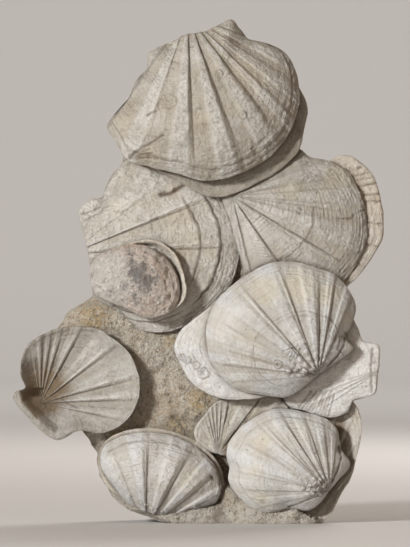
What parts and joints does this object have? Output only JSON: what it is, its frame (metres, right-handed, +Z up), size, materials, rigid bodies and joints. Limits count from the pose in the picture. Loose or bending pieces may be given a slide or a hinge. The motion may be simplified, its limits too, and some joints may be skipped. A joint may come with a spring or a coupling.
{
  "type": "fossil scallop shell cluster",
  "caption": "Fossil scallop shells with broad ribs, cemented on a sandy limestone block with a flat sawn base to stand on.",
  "frame": {"origin": "on the sawn base, under the middle of its width", "axes": "+Z up along the cluster's height, -Y out of the face that shows the shells, +X to the right of someone facing it"},
  "size_m": [0.3078, 0.1526, 0.4184],
  "materials": {
    "shell": "matte chalky fossil shell",
    "oyster": "rough weathered fossil shell",
    "matrix": "gritty sandy limestone"
  },
  "bodies": {
    "root": {"matrix_block": "matrix", "top_scallop": "shell", "top_scallop_lower_valve": "shell", "left_scallop": "shell", "oyster": "oyster", "oyster_lower_valve": "oyster", "right_scallop": "shell", "right_scallop_lower_valve": "shell", "middle_scallop": "shell", "middle_scallop_lower_valve": "shell", "hinge_scallop": "shell", "tucked_scallop": "shell", "corner_scallop": "shell", "corner_back_valve": "shell", "bottom_scallop": "shell", "bottom_scallop_lower_valve": "shell", "hollow_scallop": "shell"}
  },
  "joints": []
}
